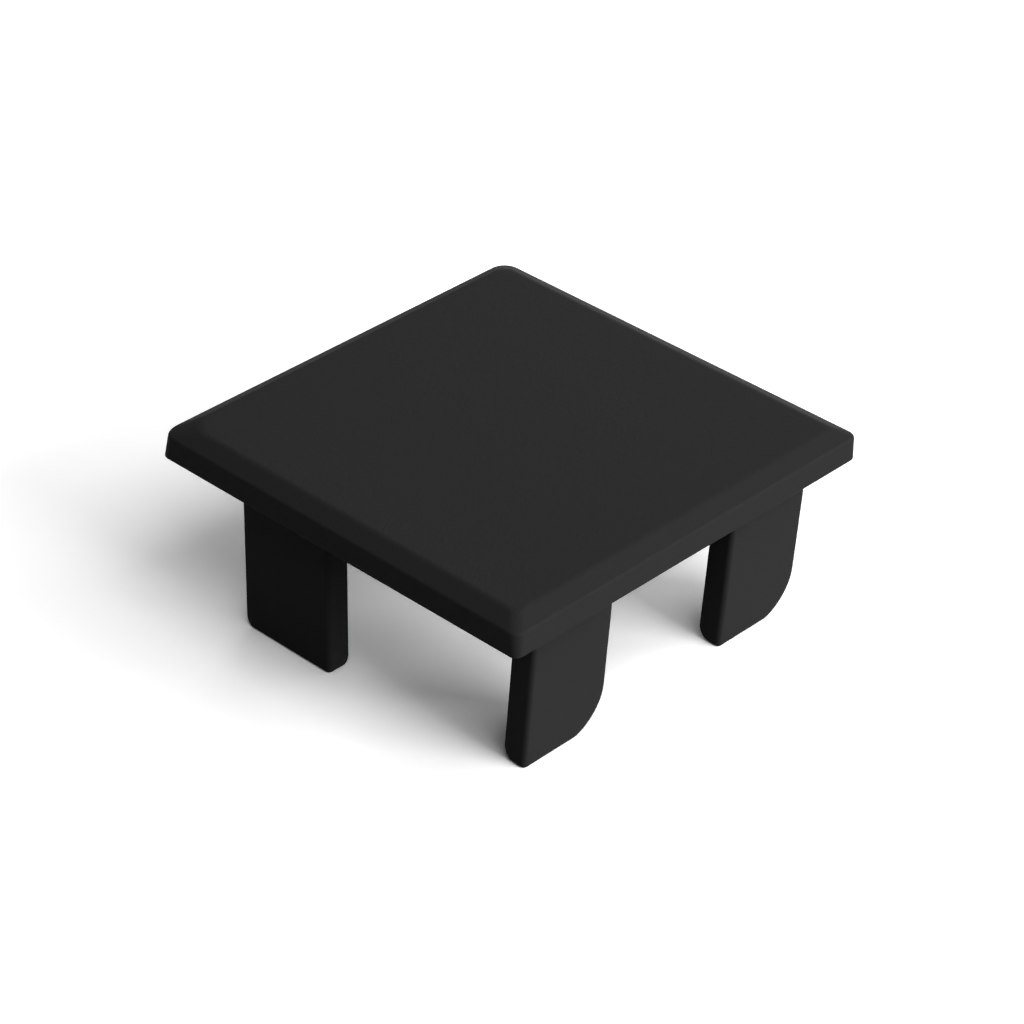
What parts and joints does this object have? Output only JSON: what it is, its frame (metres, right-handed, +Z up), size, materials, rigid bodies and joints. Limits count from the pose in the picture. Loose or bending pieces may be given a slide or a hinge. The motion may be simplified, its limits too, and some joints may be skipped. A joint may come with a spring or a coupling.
{
  "type": "tube end cap",
  "caption": "Square push-in end cap for a square tube: a chamfered flat head closes the tube's mouth, and flat legs under it slide down inside the tube's walls.",
  "frame": {"origin": "middle of the head's underside, which seats on the end of the tube", "axes": "+Z up and out of the tube, +X and +Y along the sides of the square head; the pair of legs stands on the -Y wall and the single legs on the -X and +X walls"},
  "size_m": [0.04, 0.04, 0.0169],
  "materials": {
    "black_plastic": "fine moulded grain on the top, smoother sides"
  },
  "bodies": {
    "root": {"end_cap": "black_plastic"}
  },
  "joints": []
}
